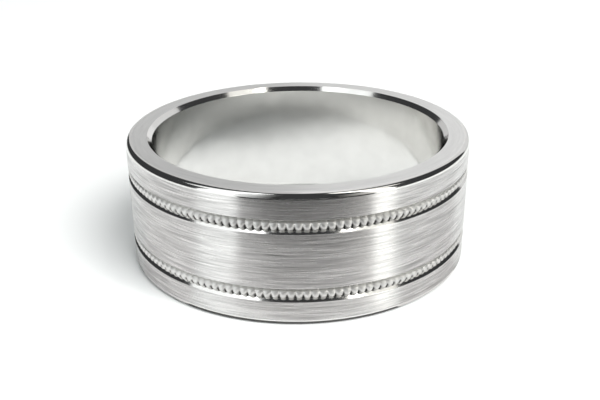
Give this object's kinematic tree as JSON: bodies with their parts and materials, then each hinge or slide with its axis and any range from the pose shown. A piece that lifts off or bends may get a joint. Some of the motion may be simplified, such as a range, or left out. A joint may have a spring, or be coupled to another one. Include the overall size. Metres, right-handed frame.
{
  "type": "wedding band",
  "caption": "Flat pipe-cut white-metal finger ring: brushed bands and beaded milgrain grooves on a polished sleeve, with bevelled bore ends.",
  "frame": {"origin": "centre of the band, on the finger axis halfway between the two side faces", "axes": "+Z along the finger axis, out of the upper side face; X and Y are any two radii, because the band is round"},
  "size_m": [0.0218, 0.0218, 0.008],
  "materials": {
    "polished_sleeve": "mirror polished white gold",
    "brushed_band": "satin white gold, brushed round the band, with bright-cut polished facets and corners",
    "milgrain_beads": "polished white gold, knurled into beads"
  },
  "bodies": {
    "root": {"inner_sleeve": "polished_sleeve", "lower_edge_band": "brushed_band", "lower_milgrain_ring": "milgrain_beads", "centre_band": "brushed_band", "upper_milgrain_ring": "milgrain_beads", "upper_edge_band": "brushed_band"}
  },
  "joints": []
}
